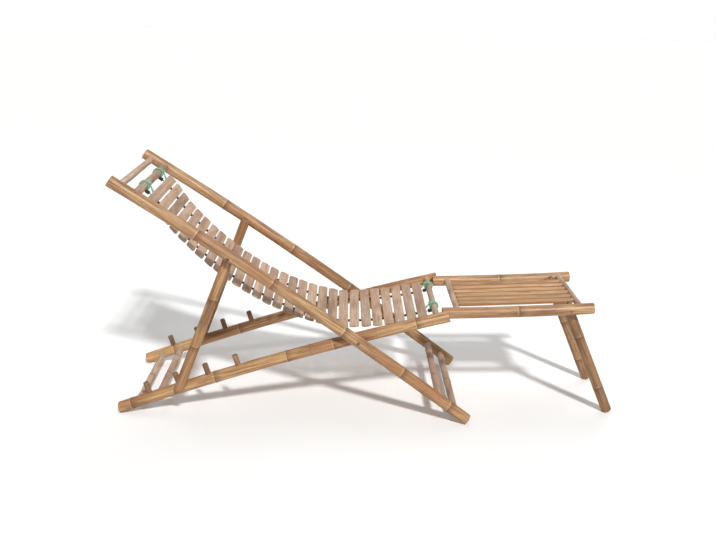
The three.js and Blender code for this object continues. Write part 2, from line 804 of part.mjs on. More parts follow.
// Two slats on their cords with the spacers between them, or the last slat of an odd count alone.
function slatPiece(first, last) {
  const home = slatFrame(first);
  const intoHome = new THREE.Matrix4().makeRotationY(home.lean);
  intoHome.setPosition(home.x, 0, home.z).invert();
  const shapes = [slatPlate(home), ...headSideSpacers(first)];
  if (last > first) shapes.push(slatPlate(slatFrame(last)), ...pairSpacers(first));
  if (last === slingSlatCount) shapes.push(...frontBarSpacers());
  const body = shapes.map(solidOf).reduce((joined, next) => joined.add(next));
  const name = `sling_slats_${twoDigits(first)}_${twoDigits(last)}`;
  const mesh = meshAt(name, geometryOf(body).applyMatrix4(intoHome), slatFinish, home.x, 0, home.z);
  mesh.rotation.y = home.lean;
  return mesh;
}

function slingPieces() {
  const group = new THREE.Group();
  for (let number = 1; number <= slingSlatCount; number += 2) {
    group.add(slatPiece(number, Math.min(number + 1, slingSlatCount)));
  }
  return group;
}

// Rope lashings

// A rope wound round a bar, with its end run straight to the edge of the nearest slat.
function lashing(name, barPlace, barDiameter, slat, edgeSide, y, handed) {
  const slatEdge = onFrame(slat, (edgeSide * slingSlatWidth) / 2, 0);
  const radius = barDiameter / 2 + ropeRadius + fitGap;
  const pitch = ropeDiameter + ropeTurnGap;
  const way = slatEdge.clone().sub(barPlace);
  const wayAngle = Math.atan2(way.y, way.x);
  const leaveAngle = wayAngle - handed * Math.acos(radius / way.length());
  const steps = lashingTurns * stepsPerTurn;
  const rings = [];
  const radialAt = (angle) => new THREE.Vector3(Math.cos(angle), 0, Math.sin(angle));
  const tangentAt = (angle) => {
    const turning = new THREE.Vector3(-Math.sin(angle), 0, Math.cos(angle)).multiplyScalar(handed * radius);
    turning.y = pitch / (2 * Math.PI);
    return turning.normalize();
  };
  const addRing = (centre, out, tangent, ringRadius) => {
    rings.push({ centre, out, across: tangent.clone().cross(out), radius: ringRadius });
  };
  for (let k = 0; k <= steps; k += 1) {
    const angle = leaveAngle - (handed * 2 * Math.PI * (steps - k)) / stepsPerTurn;
    const out = radialAt(angle);
    const centre = new THREE.Vector3(barPlace.x, y + (pitch * (k - steps / 2)) / stepsPerTurn, barPlace.y);
    centre.addScaledVector(out, radius);
    const tangent = tangentAt(angle);
    if (k === 0) {
      const tail = centre.clone().addScaledVector(tangent, -ropeDiameter);
      addRing(tail, out, tangent, 0);
      addRing(tail, out, tangent, ropeRadius);
    }
    addRing(centre, out, tangent, ropeRadius);
  }
  const leave = rings[rings.length - 1];
  const target = new THREE.Vector3(slatEdge.x, leave.centre.y, slatEdge.y);
  const strand = target.clone().sub(leave.centre);
  const faceNormal = slatEdge.clone().sub(new THREE.Vector2(slat.x, slat.z)).normalize();
  const facing = -(strand.x * faceNormal.x + strand.z * faceNormal.y) / strand.length();
  const slant = Math.sqrt(1 - facing * facing);
  const strandLength = strand.length() - (fitGap + ropeRadius * slant) / facing;
  strand.normalize();
  const end = leave.centre.clone().addScaledVector(strand, strandLength);
  const nearEnd = leave.centre.clone().addScaledVector(strand, strandLength - ropeDiameter);
  addRing(nearEnd, leave.out, strand, ropeRadius);
  addRing(end, leave.out, strand, ropeRadius);
  addRing(end.clone(), leave.out, strand, 0);
  printLeastGap(name, rings);
  const geometry = skin(rings, ropeSides);
  return meshAt(name, geometry, ropeFinish, 0, 0, 0);
}

// Measures how near the rope comes to itself, between points at least half a turn apart.
function printLeastGap(name, rings) {
  let least = Infinity;
  rings.forEach((ring, i) => {
    rings.slice(i + stepsPerTurn / 2).forEach((other) => {
      least = Math.min(least, ring.centre.distanceTo(other.centre) - ropeDiameter);
    });
  });
  console.log(`${name}: least gap of the rope to itself ${least.toFixed(2)} mm`);
}

function lashingPieces() {
  const group = new THREE.Group();
  const headSlat = slatFrame(1);
  const frontSlat = slatFrame(slingSlatCount);
  sides.forEach(({ word }, i) => {
    const y = spacerYs[i] + lashingFromSpacer;
    group.add(lashing(`head_lashing_${word}`, headSlingBarPlace, headSlingBarDiameter, headSlat, -1, y, -1));
    group.add(lashing(`front_lashing_${word}`, frontBarPlace, frontBarDiameter, frontSlat, 1, y, 1));
  });
  return group;
}

// Assembly

const recliner = new THREE.Group();
recliner.add(
  seatFramePieces(),
  backFramePieces(),
  propPieces(),
  footrestPieces(),
  footrestLegPieces(),
  slingPieces(),
  lashingPieces(),
);

// The culms that stand on the floor are worn flat there.
function wearFlat(name) {
  const mesh = recliner.getObjectByName(name);
  const block = new THREE.BoxGeometry(2 * backRailLength, overallWidth, overallWidth);
  block.translate(mesh.getWorldPosition(new THREE.Vector3()).x, 0, -overallWidth / 2);
  block.applyMatrix4(mesh.matrixWorld.clone().invert());
  mesh.geometry = geometryOf(solidOf(mesh.geometry).subtract(solidOf(block)));
}

recliner.updateMatrixWorld(true);
sides.forEach(({ word }) => {
  wearFlat(`seat_rail_${word}`);
  wearFlat(`back_rail_${word}`);
  wearFlat(`footrest_leg_${word}`);
});

const box = new THREE.Box3().setFromObject(recliner, true);
recliner.position.x = -(box.min.x + box.max.x) / 2;

export default recliner;
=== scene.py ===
"""Bamboo folding recliner: culms, bars, slats, spacers and rope lashings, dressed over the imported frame."""

import json
import math
import random

import bpy
import numpy as np
from mathutils import Matrix, Vector


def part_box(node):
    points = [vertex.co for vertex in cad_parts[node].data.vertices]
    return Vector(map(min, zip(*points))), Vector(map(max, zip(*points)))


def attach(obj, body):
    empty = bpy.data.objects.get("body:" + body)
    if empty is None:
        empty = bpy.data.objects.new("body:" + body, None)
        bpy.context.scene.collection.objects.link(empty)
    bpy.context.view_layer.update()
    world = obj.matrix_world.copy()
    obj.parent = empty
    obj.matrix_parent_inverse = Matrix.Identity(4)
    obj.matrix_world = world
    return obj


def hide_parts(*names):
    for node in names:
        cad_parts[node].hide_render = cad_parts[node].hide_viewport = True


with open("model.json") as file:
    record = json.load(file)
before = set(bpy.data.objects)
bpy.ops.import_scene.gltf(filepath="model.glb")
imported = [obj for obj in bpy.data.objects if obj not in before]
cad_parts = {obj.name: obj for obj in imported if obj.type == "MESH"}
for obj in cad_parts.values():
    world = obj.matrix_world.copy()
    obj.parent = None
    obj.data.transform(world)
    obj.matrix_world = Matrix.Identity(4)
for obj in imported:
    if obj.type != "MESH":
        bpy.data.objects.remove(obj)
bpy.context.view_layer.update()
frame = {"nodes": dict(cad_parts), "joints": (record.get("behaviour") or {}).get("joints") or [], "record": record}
MM = 0.001
SIDES = {"right": -1, "left": 1}

# Long poles, in millimetres along their own axis
BACK_LENGTH = 1507
BACK_PIVOT_ALONG = 1012
PROP_PIVOT_ALONG = 472
SEAT_LENGTH = 1236
SEAT_PIVOT_ALONG = 904
RAIL_RADIUS = 21
RAIL_BOW = 18
SEAT_RISE = math.radians(17.7)
BACK_Y = 279
SEAT_Y = 236.4

# Prop
PROP_RADIUS = 18
PROP_PIVOT_DROP = 9
PROP_TOP = 15
PROP_FOOT = 34
PROP_TOP_Y = 238.2
PROP_FOOT_Y = 276

# Footrest and its legs
FOOTREST_LENGTH = 544
FOOTREST_RADIUS = 20.5
FOOTREST_BOW = -3
FOOTREST_START = 10
FOOTREST_Y = 194.3
FOOTREST_SLATS_FROM = 53
FOOTREST_SLATS_TO = 480
FOOTREST_SLAT_CROWN = 5.5
FOOTREST_SLAT_TRIM = 1.2
FOOTREST_SLAT_COUNT = 6
FOOTREST_SLAT_THICKNESS = 7
FOOTREST_SLAT_RISE = 5
STRIP_SHOULDER = 16
STRIP_TONGUE_SHARE = 0.48
AXLE_ALONG = 449.5
AXLE_DROP = 4
LEG_RADIUS = 18.5
LEG_TOP = 14
LEG_Y = 154.3
LEG_LEAN = math.radians(24.1)

# Dowels and pegs
PIN_RADIUS = 6
AXLE_RADIUS = 4.5
PIN_PROUD = 0.9
PEG_COUNT = 4
PEG_RADIUS = 10
PEG_LENGTH = 65.7

# Ends of the poles
POLE_HOLLOW_DEPTH = 26
POLE_HOLLOW_SHARE = 0.42
BAR_HOLLOW_SHARE = 0.3
POLE_BEVEL = 2
FLOOR_FLAT = 2
PROP_START_CUT = 0.2
LEG_START_CUT = 0.15

# Sling
SLAT_COUNT = 28
FIRST_SEAT_SLAT = 21
SLAT_GAP = 6.3
SLAT_CORNER = 10
SLAT_LENGTH = 420
SLAT_THICKNESS = 6.4
SLAT_CROWN = 0.6
SLAT_SHIFT = 1.6
SLAT_TWIST = 0.35
SLAT_OVERLAP = 1
STRIP_EASE = 1.4
SPACER_RADIUS = 4.2
BLOCK_RADIUS = 6.5
BLOCK_SHARE = 0.7
CORD_RADIUS = 1.6
SPACER_YS = {"right": -145, "left": 95}
ROPE_RADIUS = 2.7
ROPE_PITCH = 5.5
ROPE_TURNS = 3
ROPE_FROM_SPACER = 37
ROPE_CLEARANCE = 0.3
ROPE_LAY = 16
KNOT_SIZE = 2.3
KNOT_ROPE_RADIUS = 1.9
KNOT_LAY = 14
KNOT_TURN = math.radians(60)
STRAND_SHIFT = -9
STRAND_ARCH = 2.5

# Bamboo joints, as shares of each pole
BACK_JOINT_SHARES = {"right": (0.225, 0.428, 0.629, 0.8, 0.942), "left": (0.245, 0.46, 0.645, 0.83)}
SEAT_JOINT_SHARES = {"right": (0.04, 0.3, 0.52, 0.66, 0.905), "left": (0.1, 0.33, 0.56, 0.79)}
PROP_JOINT_SHARES = {"right": (0.34, 0.68), "left": (0.4, 0.75)}
FOOTREST_JOINT_SHARES = {"right": (0.505,), "left": (0.49,)}
LEG_JOINT_SHARES = {"right": (0.3, 0.77), "left": (0.42, 0.8)}
LONG_BAR_JOINT_SHARES = (0.36, 0.74)
SHORT_BAR_JOINT_SHARES = (0.45,)

# Fineness of the meshes
POLE_SIDES = 40
POLE_STEP = 24
JOINT_REACH = 15
JOINT_STEP = 1.5
ROPE_SIDES = 18
ROPE_STEPS_PER_TURN = 48
KNOT_STEPS = 90
STRAND_STEPS = 12
LASHING_STRAND_STEPS = 10
NO_JOINT = 999

# Camera
CAMERA_PLACE = (-0.1066, -3.2918, 1.4646)
YAW = math.radians(0.98952)
PITCH = math.radians(16.05228)
ROLL = math.radians(1.52225)
LENS = 46.0
SENSOR_WIDTH = 36
SHIFT_Y = -0.0112

# Floor and light
FLOOR_HALF = 40
FLOOR_LIFT = 0.06
WORLD_LIGHT = 0.27
WORLD_SEEN = 1.0

body_of = {
    node: body
    for body, nodes in frame["record"]["behaviour"]["bodies"].items()
    for node in nodes
}
joint_places = {joint["name"]: Vector(joint["pos_m"]) / MM for joint in frame["joints"]}


# Side view


def turned(place, lean, along, offset):
    """A point of a leaning side-view frame, as (x, z) in millimetres."""
    c, s = math.cos(lean), math.sin(lean)
    return place[0] + along * c + offset * s, place[1] - along * s + offset * c


def bow_at(along, length, bow):
    share = along / length
    return 4 * bow * share * (1 - share)


def lean_between(local, start, end):
    """The lean that turns a local (along, offset) direction to run from start to end in the side view."""
    return math.atan2(local[1], local[0]) - math.atan2(end[1] - start[1], end[0] - start[0])


def side_place(joint):
    place = joint_places[joint]
    return place.x, place.z


def middle_of(node):
    low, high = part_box(node)
    middle = (low + high) / 2 / MM
    return middle.x, middle.z


main_pivot = side_place("back_fold")
prop_pivot = side_place("prop_swing")
footrest_hinge = side_place("footrest_hinge")
leg_axle = side_place("footrest_legs_fold")

seat_pivot_bow = bow_at(SEAT_PIVOT_ALONG, SEAT_LENGTH, RAIL_BOW)
seat_start = turned(main_pivot, -SEAT_RISE, -SEAT_PIVOT_ALONG, -seat_pivot_bow)
back_pivot_bow = bow_at(BACK_PIVOT_ALONG, BACK_LENGTH, RAIL_BOW)
prop_pivot_bow = bow_at(PROP_PIVOT_ALONG, BACK_LENGTH, RAIL_BOW) - PROP_PIVOT_DROP
pivots_apart = (PROP_PIVOT_ALONG - BACK_PIVOT_ALONG, prop_pivot_bow - back_pivot_bow)
back_lean = lean_between(pivots_apart, main_pivot, prop_pivot)
back_start = turned(main_pivot, back_lean, -BACK_PIVOT_ALONG, -back_pivot_bow)
prop_bar = middle_of("prop_crossbar")
prop_reach = math.dist(prop_pivot, prop_bar)
prop_lean = lean_between((1, 0), prop_pivot, prop_bar)
footrest_lean = lean_between((AXLE_ALONG, -AXLE_DROP), footrest_hinge, leg_axle)
leg_lean = math.pi / 2 - LEG_LEAN


def placing(start, lean, along=0, y=0, offset=0, swing=0):
    """The matrix of a piece whose own +X runs along a side-view frame; swing turns it sideways."""
    x, z = turned(start, lean, along, offset)
    place = Matrix.Translation(Vector((x, y, z)) * MM)
    return place @ Matrix.Rotation(lean, 4, "Y") @ Matrix.Rotation(swing, 4, "Z")


# Materials


def linear(colour):
    """An sRGB hex colour as linear red, green, blue and alpha."""
    parts = [int(colour[i : i + 2], 16) / 255 for i in (1, 3, 5)]
    return [p / 12.92 if p <= 0.04045 else ((p + 0.055) / 1.055) ** 2.4 for p in parts] + [1]


def add(tree, kind, settings=None, inputs=None):
    """Adds a node with its settings, and with each input linked or set."""
    made = tree.nodes.new(kind)
    for name, value in (settings or {}).items():
        setattr(made, name, value)
    for name, value in (inputs or {}).items():
        if isinstance(value, bpy.types.NodeSocket):
            tree.links.new(value, made.inputs[name])
        else:
            made.inputs[name].default_value = value
    return made


FACTOR, FIRST, SECOND, RESULT = 0, 6, 7, 2


def new_material(name):
    material = bpy.data.materials.new(name)
    material.use_nodes = True
    tree = material.node_tree
    tree.nodes.clear()
    return material, tree


def per_metre(*sizes):
    """Texture scale for a pattern of these sizes in millimetres."""
    return [1000 / size for size in sizes]


def bamboo(name, colours, roughness, streak, coat, spread=0.1):
    """Bamboo's waxy skin: long fibre streaks, cloudy patches, dark flecks, and ringed joints.

    The skin is smooth and half glossy, the sawn ends are matt and full of dark fibre ends. The colours
    are the pale and the deep fibre, the warm blush, the brown stain and the pale dust. streak is the
    length of the fibre streaks in millimetres, and spread how far pieces differ in brightness.
    """
    pale, deep, warm, stain, cut = colours
    material, tree = new_material(name)
    own = add(tree, "ShaderNodeTexCoord").outputs["Object"]
    tint = add(tree, "ShaderNodeAttribute", {"attribute_name": "tint"}).outputs["Fac"]
    apart = add(tree, "ShaderNodeVectorMath", {"operation": "SCALE"}, {0: (7, 5, 3), "Scale": tint})
    place = add(tree, "ShaderNodeVectorMath", {"operation": "ADD"}, {0: own, 1: apart.outputs[0]}).outputs[0]

    def noise(sizes, detail, roughening):
        """Noise of these sizes in millimetres, along and across the piece."""
        scaled = add(tree, "ShaderNodeMapping", {}, {"Vector": place, "Scale": per_metre(*sizes)})
        inputs = {"Vector": scaled.outputs[0], "Scale": 1, "Detail": detail, "Roughness": roughening}
        return add(tree, "ShaderNodeTexNoise", {}, inputs).outputs["Fac"]

    def ramp(value, start, end, low=0.0, high=1.0):
        """Rises smoothly from low to high as the value goes from start to end."""
        inputs = {"Value": value, "From Min": start, "From Max": end, "To Min": low, "To Max": high}
        return add(tree, "ShaderNodeMapRange", {"interpolation_type": "SMOOTHSTEP"}, inputs).outputs[0]

    def mix(factor, first, second):
        settings = {"data_type": "RGBA", "clamp_factor": True}
        inputs = {FACTOR: factor, FIRST: first, SECOND: second}
        return add(tree, "ShaderNodeMix", settings, inputs).outputs[RESULT]

    def multiply(first, second):
        return add(tree, "ShaderNodeMath", {"operation": "MULTIPLY"}, {0: first, 1: second}).outputs[0]

    streaks = noise((streak, streak / 28, streak / 28), 5, 0.62)
    patches = noise((150, 34, 34), 3, 0.5)
    hairs = noise((30, 0.9, 0.9), 3, 0.6)
    flecks = noise((9, 1.5, 1.5), 2, 0.5)
    blush = noise((420, 60, 60), 2, 0.5)
    colour = mix(ramp(streaks, 0.36, 0.64), linear(pale), linear(deep))
    colour = mix(ramp(blush, 0.44, 0.62, 0, 0.6), colour, linear(warm))
    colour = mix(ramp(patches, 0.46, 0.7, 0, 0.6), colour, linear(stain))
    colour = mix(ramp(hairs, 0.48, 0.78, 0, 0.4), colour, linear(stain))
    colour = mix(ramp(hairs, 0.44, 0.24, 0, 0.35), colour, linear(cut))
    colour = mix(ramp(flecks, 0.66, 0.74, 0, 0.6), colour, linear(stain))
    brighter = ramp(tint, 0, 1, 1 - spread, 1 + spread)
    tone = add(tree, "ShaderNodeHueSaturation", {}, {"Value": brighter, "Color": colour}).outputs[0]

    # The joint's ring: a thin dark scar, a pale dusty band on one side and a brown stain on the other
    gap = add(tree, "ShaderNodeAttribute", {"attribute_name": "joint_gap"}).outputs["Fac"]
    distance = add(tree, "ShaderNodeMath", {"operation": "ABSOLUTE"}, {0: gap}).outputs[0]
    browned = multiply(ramp(gap, 30, 2, 0, 0.5), ramp(gap, -1.5, 0.5))
    ringed = mix(browned, tone, linear(stain))
    dusty = multiply(ramp(gap, -9, -2, 0, 0.3), ramp(gap, 0.4, -1))
    ringed = mix(dusty, ringed, linear(cut))
    ringed = mix(ramp(distance, 2.1, 0.6, 0, 0.8), ringed, linear("#5a3b26"))

    # Sawn ends: the deep fibre colour with dark fibre ends, and painted shade that darkens the hollow with its
    # depth
    # Split strips also take this colour on their flanks and underside, partly as painted shade between the strips
    ends = add(tree, "ShaderNodeAttribute", {"attribute_name": "sawn"}).outputs["Fac"]
    pores = noise((1.6, 1.6, 1.6), 2, 0.5)
    end_grain = mix(ramp(pores, 0.46, 0.64, 0, 0.8), linear(deep), linear("#835d3b"))
    # Painted shade: the inside of the hollow turns near black the deeper it goes
    hollow_shade = add(tree, "ShaderNodeAttribute", {"attribute_name": "hollow"}).outputs["Fac"]
    end_grain = mix(ramp(hollow_shade, 0, 1, 0, 0.85), end_grain, linear("#3a2616"))
    finished = mix(ends, ringed, end_grain)

    gloss = ramp(hairs, 0.3, 0.75, roughness - 0.06, roughness + 0.12)
    matt_ends = multiply(ends, 0.85)
    dull = add(tree, "ShaderNodeMath", {"operation": "MAXIMUM"}, {0: gloss, 1: matt_ends}).outputs[0]
    relief = add(tree, "ShaderNodeMath", {"operation": "ADD"}, {0: hairs, 1: streaks}).outputs[0]
    bump = add(tree, "ShaderNodeBump", {}, {"Strength": 0.35, "Distance": 0.0006, "Height": relief})
    shader = {
        "Base Color": finished,
        "Roughness": dull,
        "Normal": bump.outputs[0],
        "IOR": 1.5,
        "Coat Weight": coat,
        "Coat Roughness": 0.3,
    }
    skin = add(tree, "ShaderNodeBsdfPrincipled", {}, shader)
    add(tree, "ShaderNodeOutputMaterial", {}, {"Surface": skin.outputs[0]})
    return material


def rope_fibre():
    """Twisted polypropylene: fine bright filaments, with painted shade in the grooves between the strands."""
    material, tree = new_material("polypropylene rope")
    groove = add(tree, "ShaderNodeAttribute", {"attribute_name": "groove"}).outputs["Fac"]
    own = add(tree, "ShaderNodeTexCoord").outputs["Object"]
    inputs = {"Vector": own, "Scale": 1400, "Detail": 3, "Roughness": 0.6}
    filaments = add(tree, "ShaderNodeTexNoise", {}, inputs).outputs["Fac"]
    settings = {"data_type": "RGBA"}
    base = {FACTOR: filaments, FIRST: linear("#4f9c78"), SECOND: linear("#93c7a9")}
    bright = add(tree, "ShaderNodeMix", settings, base).outputs[RESULT]
    # Painted shade: the grooves between the strands go dark green
    shaded = {FACTOR: groove, FIRST: bright, SECOND: linear("#2f6b4c")}
    colour = add(tree, "ShaderNodeMix", settings, shaded).outputs[RESULT]
    bump = add(tree, "ShaderNodeBump", {}, {"Strength": 0.5, "Distance": 0.0004, "Height": filaments})
    shader = {"Base Color": colour, "Roughness": 0.5, "Normal": bump.outputs[0], "Sheen Weight": 0.3}
    body = add(tree, "ShaderNodeBsdfPrincipled", {}, shader)
    add(tree, "ShaderNodeOutputMaterial", {}, {"Surface": body.outputs[0]})
    return material


def spacer_rubber():
    """Black extruded rubber tube, dull, with a faint grey bloom."""
    material, tree = new_material("black rubber tube")
    own = add(tree, "ShaderNodeTexCoord").outputs["Object"]
    inputs = {"Vector": own, "Scale": 220, "Detail": 4, "Roughness": 0.6}
    bloom = add(tree, "ShaderNodeTexNoise", {}, inputs).outputs["Fac"]
    colours = {FACTOR: bloom, FIRST: linear("#0f0e0d"), SECOND: linear("#2a2623")}
    colour = add(tree, "ShaderNodeMix", {"data_type": "RGBA"}, colours).outputs[RESULT]
    bump = add(tree, "ShaderNodeBump", {}, {"Strength": 0.2, "Distance": 0.0003, "Height": bloom})
    shader = {"Base Color": colour, "Roughness": 0.7, "Normal": bump.outputs[0], "IOR": 1.52}
    body = add(tree, "ShaderNodeBsdfPrincipled", {}, shader)
    add(tree, "ShaderNodeOutputMaterial", {}, {"Surface": body.outputs[0]})
    return material


def studio_floor():
    """Plain matt paper floor, lifted to white where no shadow falls."""
    material, tree = new_material("pale paper floor")
    shader = {"Base Color": linear("#f4f4f3"), "Roughness": 0.9, "Specular IOR Level": 0}
    body = add(tree, "ShaderNodeBsdfPrincipled", {}, shader)
    seen = add(tree, "ShaderNodeLightPath").outputs["Is Camera Ray"]
    lift = add(tree, "ShaderNodeMath", {"operation": "MULTIPLY"}, {0: seen, 1: FLOOR_LIFT}).outputs[0]
    glow = add(tree, "ShaderNodeEmission", {}, {"Color": (1, 1, 1, 1), "Strength": lift})
    both = add(tree, "ShaderNodeAddShader", {}, {0: body.outputs[0], 1: glow.outputs[0]})
    add(tree, "ShaderNodeOutputMaterial", {}, {"Surface": both.outputs[0]})
    return material


CULM_COLOURS = ("#c9a273", "#90673f", "#a36f48", "#664126", "#dabc90")
# A darker copy of the culm colours: painted shade for the prop and the footrest legs
SHADED_CULM_COLOURS = ("#b48b60", "#835d39", "#8e6341", "#5b3a21", "#c4a075")
BAR_COLOURS = ("#d2b89f", "#a98b70", "#b59079", "#785a45", "#dccab2")
SLAT_COLOURS = ("#cdb198", "#ab8b72", "#b38d78", "#82644e", "#dac6b0")
STRIP_COLOURS = ("#d6b286", "#a07449", "#ae7f55", "#6f4a2b", "#e6caa2")
PEG_COLOURS = ("#a07b5b", "#78573c", "#845f45", "#543925", "#8d6d4c")
DOWEL_COLOURS = ("#7d5c3e", "#5a3f29", "#5f422c", "#382417", "#7d5f42")

culm_skin = bamboo("bamboo culm", CULM_COLOURS, roughness=0.42, streak=140, coat=0.06)
shaded_culm_skin = bamboo("shaded bamboo culm", SHADED_CULM_COLOURS, roughness=0.46, streak=140, coat=0.04)
bar_skin = bamboo("bamboo bar", BAR_COLOURS, roughness=0.55, streak=90, coat=0.02)
slat_skin = bamboo("planed bamboo slat", SLAT_COLOURS, roughness=0.6, streak=110, coat=0, spread=0.14)
strip_skin = bamboo(
    "split bamboo strip", STRIP_COLOURS, roughness=0.5, streak=110, coat=0.02, spread=0.12
)
peg_skin = bamboo("bamboo peg", PEG_COLOURS, roughness=0.6, streak=60, coat=0)
dowel_skin = bamboo("bamboo dowel", DOWEL_COLOURS, roughness=0.65, streak=40, coat=0)
rope_skin = rope_fibre()
rubber_skin = spacer_rubber()


# Meshes


def mesh_piece(name, points, faces, attributes, matrix, material):
    """A smooth piece from points in millimetres, placed by its matrix."""
    mesh = bpy.data.meshes.new(name)
    mesh.from_pydata([tuple(c * MM for c in point) for point in points], [], faces)
    for label, values in attributes.items():
        mesh.attributes.new(label, "FLOAT", "POINT").data.foreach_set("value", values)
    mesh.polygons.foreach_set("use_smooth", [True] * len(mesh.polygons))
    mesh.materials.append(material)
    mesh.validate()
    piece = bpy.data.objects.new(name, mesh)
    bpy.context.scene.collection.objects.link(piece)
    piece.matrix_world = matrix
    return piece


def fasten(piece, node):
    """Lets a piece stand for a node, or for part of one, and move with its body."""
    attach(piece, body_of[node])
    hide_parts(node)
    return piece


def ring_faces(count, sides, close_start=True, close_end=True):
    faces = []
    for k in range(count - 1):
        for i in range(sides):
            j = (i + 1) % sides
            faces.append((k * sides + i, k * sides + j, (k + 1) * sides + j, (k + 1) * sides + i))
    if close_start:
        faces.append(tuple(reversed(range(sides))))
    if close_end:
        faces.append(tuple(range((count - 1) * sides, count * sides)))
    return faces


def joint_swell(gap):
    """How far a bamboo joint stands out of the pole: a ridge, a scar groove and a slow swelling."""
    ridge = 0.75 * math.exp(-((gap / 1.8) ** 2))
    scar = -0.5 * math.exp(-(((gap - 3.6) / 1.1) ** 2))
    swelling = 0.45 * math.exp(-((gap / 9) ** 2))
    return ridge + scar + swelling


def pole_stations(length, joints):
    """Places along a pole, close together at its joints."""
    stations = set(np.arange(POLE_STEP, length - POLE_STEP / 2, POLE_STEP).tolist())
    for joint in joints:
        stations = {s for s in stations if abs(s - joint) > JOINT_REACH}
        stations |= set(np.arange(joint - JOINT_REACH, joint + JOINT_REACH, JOINT_STEP).tolist())
    return sorted(s for s in stations if 4 < s < length - 4)


def without_joints(sawn_values, tint):
    """The attributes of a piece that has no bamboo joint and no hollow."""
    count = len(sawn_values)
    return {
        "joint_gap": [NO_JOINT] * count,
        "sawn": sawn_values,
        "hollow": [0] * count,
        "tint": [tint] * count,
    }


def pole(
    name,
    length,
    radius,
    matrix,
    material,
    bow=0.0,
    joint_shares=(),
    hollow=POLE_HOLLOW_SHARE,
    on_floor=False,
    start_cut=1.0,
):
    """A bamboo pole along +X: not quite round, with ringed joints, eased rims and a hollow at each end.

    hollow is the share of the radius that the hollow takes. start_cut is how fresh the first end's cut
    looks, from 0 for weathered to 1 for newly sawn.
    """
    draw = random.Random(name)
    joints = [share * length for share in joint_shares]
    phase = draw.uniform(0, math.tau)
    waver = [draw.uniform(0, math.tau) for _ in range(4)]
    sections = pole_stations(length, joints)
    wall = radius * hollow
    # Rings as place along, radius, how sawn and how deep, from inside the first hollow to the second; how deep
    # sets the painted shade inside the hollow
    start = [
        (POLE_HOLLOW_DEPTH, wall * 0.2, 1, 1),
        (POLE_HOLLOW_DEPTH, wall * 0.9, 1, 1),
        (3, wall, 1, 0.55),
        (0.3, wall + 0.4, 1, 0.1),
        (0, wall + 1, 1, 0),
        (0, radius - 1.8, 1, 0),
        (0.3, radius - 0.9, 0.6, 0),
        (1.1, radius - 0.2, 0, 0),
        (2.4, radius, 0, 0),
    ]
    middle = [(s, radius, 0, 0) for s in sections]
    rings = start + middle + [(length - along, r, sawn, deep) for along, r, sawn, deep in reversed(start)]
    points, gaps, sawn_values, hollow_shade_depths = [], [], [], []
    for along, ring_radius, sawn, deep in rings:
        nearest = min((along - joint for joint in joints), key=abs, default=NO_JOINT)
        swell = joint_swell(nearest) if ring_radius == radius else 0
        drift = 0.25 * math.sin(along / 67 + waver[0]) + 0.2 * math.sin(along / 31 + waver[1])
        lift = bow_at(along, length, bow)
        sway = 0.7 * math.sin(along / 140 + waver[2])
        for i in range(POLE_SIDES):
            turn = math.tau * i / POLE_SIDES
            oval = 0.16 * math.cos(2 * turn + phase) + 0.1 * math.cos(3 * turn - phase + along / 300)
            outside = swell + (drift + oval) * 0.6 - 0.25
            out = ring_radius + (outside if ring_radius > wall + 1 else 0)
            points.append((along, sway * 0.4 + out * math.sin(turn), lift + out * math.cos(turn)))
        gaps += [nearest] * POLE_SIDES
        sawn_values += [sawn * (start_cut if along < length / 2 else 1)] * POLE_SIDES
        hollow_shade_depths += [deep] * POLE_SIDES
    if on_floor:
        points = [lifted_to_floor(point, matrix) for point in points]
    attributes = {
        "joint_gap": gaps,
        "sawn": sawn_values,
        "hollow": hollow_shade_depths,
        "tint": [draw.random()] * len(points),
    }
    return mesh_piece(name, points, ring_faces(len(rings), POLE_SIDES), attributes, matrix, material)


def lifted_to_floor(point, matrix):
    """A foot is worn flat where it would reach through the floor."""
    place = matrix @ (Vector(point) * MM)
    if place.z >= 0:
        return point
    place.z = 0
    return tuple((matrix.inverted() @ place) / MM)


def dowel(name, length, radius, matrix, material):
    """A short whittled dowel along +X with eased ends."""
    draw = random.Random(name)
    profile = [(0, 0.3), (0, radius - 1.6), (0.5, radius - 0.6), (1.6, radius)]
    middle = [(length * share, radius + draw.uniform(-0.15, 0.15)) for share in (0.3, 0.55, 0.8)]
    rings = profile + middle + [(length - along, r) for along, r in reversed(profile)]
    points, sawn_values = [], []
    for along, ring_radius in rings:
        flat = along < 0.4 or along > length - 0.4
        for i in range(POLE_SIDES):
            turn = math.tau * i / POLE_SIDES
            out = ring_radius * (1 + 0.012 * math.cos(5 * turn))
            points.append((along, out * math.sin(turn), out * math.cos(turn)))
            sawn_values.append(0.7 if flat else 0)
    attributes = without_joints(sawn_values, draw.random())
    return mesh_piece(name, points, ring_faces(len(rings), POLE_SIDES), attributes, matrix, material)


